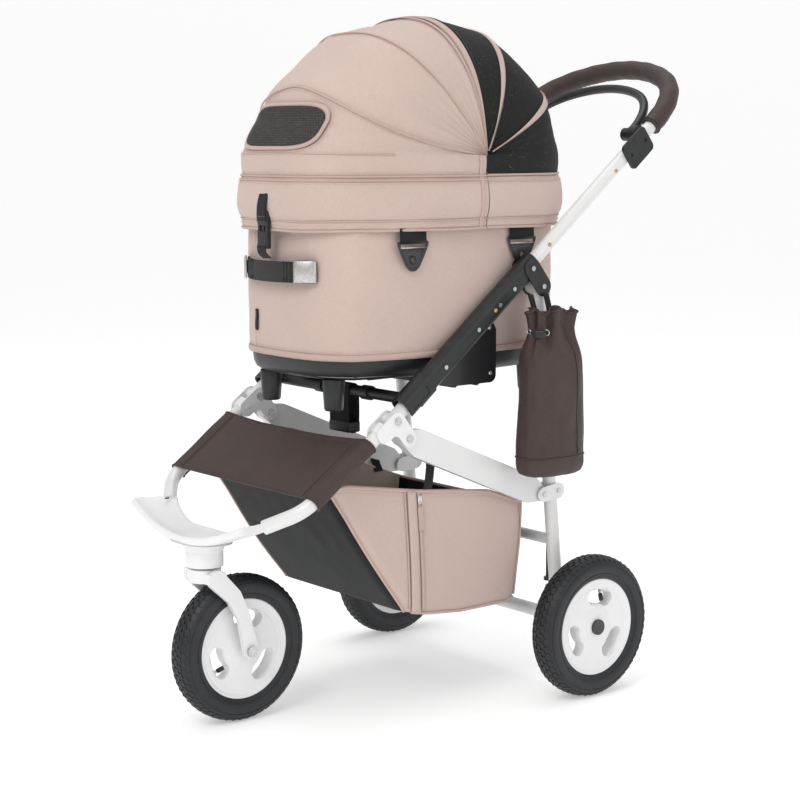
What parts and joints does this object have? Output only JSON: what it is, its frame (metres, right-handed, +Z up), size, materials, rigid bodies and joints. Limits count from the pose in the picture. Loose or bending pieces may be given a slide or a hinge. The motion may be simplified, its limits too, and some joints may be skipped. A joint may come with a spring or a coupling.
{
  "type": "pet stroller",
  "caption": "Folding three-wheel pet stroller with a lift-off fabric cot under a domed mesh hood, a bow handle with a brake bar, a lower basket and a side pouch.",
  "frame": {"origin": "floor, under the middle of the stroller's box", "axes": "+Z up, -Y towards the front wheel, +X the stroller's left side (the pouch's side)"},
  "size_m": [0.555, 0.9694, 1.0865],
  "materials": {
    "frame_white": "gloss white paint",
    "moulding_white": "glossy white moulding",
    "moulding_black": "satin black moulding",
    "plate_black": "black painted steel plate",
    "steel": "bright steel",
    "leather_brown": "grained dark brown leatherette",
    "fabric_pink": "woven dusty pink fabric",
    "fabric_cream": "quilted cream mat",
    "mesh_black": "open black mesh",
    "webbing_black": "woven black webbing",
    "rim_white": "glossy white rim",
    "tyre_black": "black treaded tyre",
    "cap_dark": "dark hub cap"
  },
  "bodies": {
    "frame": {"upper_tube": "frame_white", "handle_grip": "leather_brown", "sleeve_left": "moulding_black", "sleeve_right": "moulding_black", "side_plate_left": "plate_black", "side_plate_right": "plate_black", "leg_lug_left": "moulding_black", "leg_lug_right": "moulding_black", "rear_leg_left": "frame_white", "rear_leg_right": "frame_white", "rear_bracket_left": "moulding_white", "rear_bracket_right": "moulding_white", "rear_cross_tube": "frame_white", "rear_axle": "frame_white", "cot_cradle": "moulding_black", "accessory_plate_left": "moulding_black", "accessory_plate_right": "moulding_black", "brake_housing_left": "moulding_black", "brake_housing_right": "moulding_black", "frame_rivets": "steel", "brake_springs": "steel", "basket": "fabric_pink", "pouch": "leather_brown"},
    "brake_lever": {"brake_bar": "moulding_black"},
    "brake_link": {"brake_rods": "plate_black"},
    "release": {"lock_collar_left": "moulding_black", "lock_collar_right": "moulding_black", "release_bar": "moulding_black", "pull_strap": "webbing_black"},
    "front_frame": {"front_tube": "frame_white", "front_bracket_left": "moulding_white", "front_bracket_right": "moulding_white", "hinge_pins": "steel", "platform_tray": "moulding_white", "swivel_housing": "moulding_white", "footrest_panel": "leather_brown"},
    "side_beams": {"side_beam_left": "frame_white", "side_beam_right": "frame_white"},
    "fork": {"fork": "moulding_white", "front_axle": "steel"},
    "front_wheel": {"front_rim": "rim_white", "front_tyre": "tyre_black"},
    "rear_wheel_left": {"rear_rim_left": "rim_white", "rear_tyre_left": "tyre_black", "rear_cap_left": "cap_dark"},
    "rear_wheel_right": {"rear_rim_right": "rim_white", "rear_tyre_right": "tyre_black", "rear_cap_right": "cap_dark"},
    "cot": {"cot_tray": "moulding_black", "cot_feet": "moulding_black", "cot_shell": "fabric_pink", "cot_mat": "fabric_cream", "grab_handle": "webbing_black", "strap_lugs": "webbing_black", "hood_hinges": "moulding_black", "hood_mesh": "mesh_black", "hood_rib_top": "steel"},
    "hood": {"hood_front": "fabric_pink", "hood_rib_front": "steel", "hood_buckle": "moulding_black"}
  },
  "joints": [
    {"name": "fold", "type": "hinge", "parent": "frame", "child": "front_frame", "pos_m": [0, -0.2085, 0.4748], "axis": [1, 0, 0], "range_deg": [0, 42], "deforming": ["basket"]},
    {"name": "beam_link", "type": "hinge", "parent": "frame", "child": "side_beams", "pos_m": [0, 0.0963, 0.3264], "axis": [1, 0, 0], "range_deg": [-6, 1]},
    {"name": "fork_swivel", "type": "hinge", "parent": "front_frame", "child": "fork", "pos_m": [0, -0.4298, 0.245], "axis": [0, 0, 1], "continuous": true},
    {"name": "front_spin", "type": "hinge", "parent": "fork", "child": "front_wheel", "pos_m": [0, -0.3698, 0.115], "axis": [1, 0, 0], "continuous": true},
    {"name": "rear_spin_left", "type": "hinge", "parent": "frame", "child": "rear_wheel_left", "pos_m": [0.254, 0.1432, 0.115], "axis": [1, 0, 0], "continuous": true},
    {"name": "rear_spin_right", "type": "hinge", "parent": "frame", "child": "rear_wheel_right", "pos_m": [-0.254, 0.1432, 0.115], "axis": [1, 0, 0], "continuous": true},
    {"name": "release_slide", "type": "slide", "parent": "frame", "child": "release", "axis": [0, 0.7815, 0.6239], "range_m": [0, 0.018], "stiffness_N_per_m": 600, "springref_m": -0.012},
    {"name": "brake_squeeze", "type": "hinge", "parent": "frame", "child": "brake_lever", "pos_m": [0, 0.32684, 0.90216], "axis": [1, 0, 0], "range_deg": [0, 16], "stiffness_Nm_per_rad": 4, "springref_deg": -11.46},
    {"name": "brake_pull", "type": "slide", "parent": "frame", "child": "brake_link", "axis": [0, 0, 1], "range_m": [0, 0.0062], "deforming": ["brake_springs"]},
    {"name": "cot_lift", "type": "slide", "parent": "frame", "child": "cot", "axis": [0, 0, 1], "range_m": [0, 0.3]},
    {"name": "hood_open", "type": "hinge", "parent": "cot", "child": "hood", "pos_m": [0, -0.0151, 0.8697], "axis": [-1, 0, 0], "range_deg": [0, 60], "deforming": ["hood_front"]}
  ],
  "couplings": [
    {"joint": "beam_link", "follows": "fold", "ratio": -0.118},
    {"joint": "brake_pull", "follows": "brake_squeeze", "m_per_rad": 0.022}
  ]
}
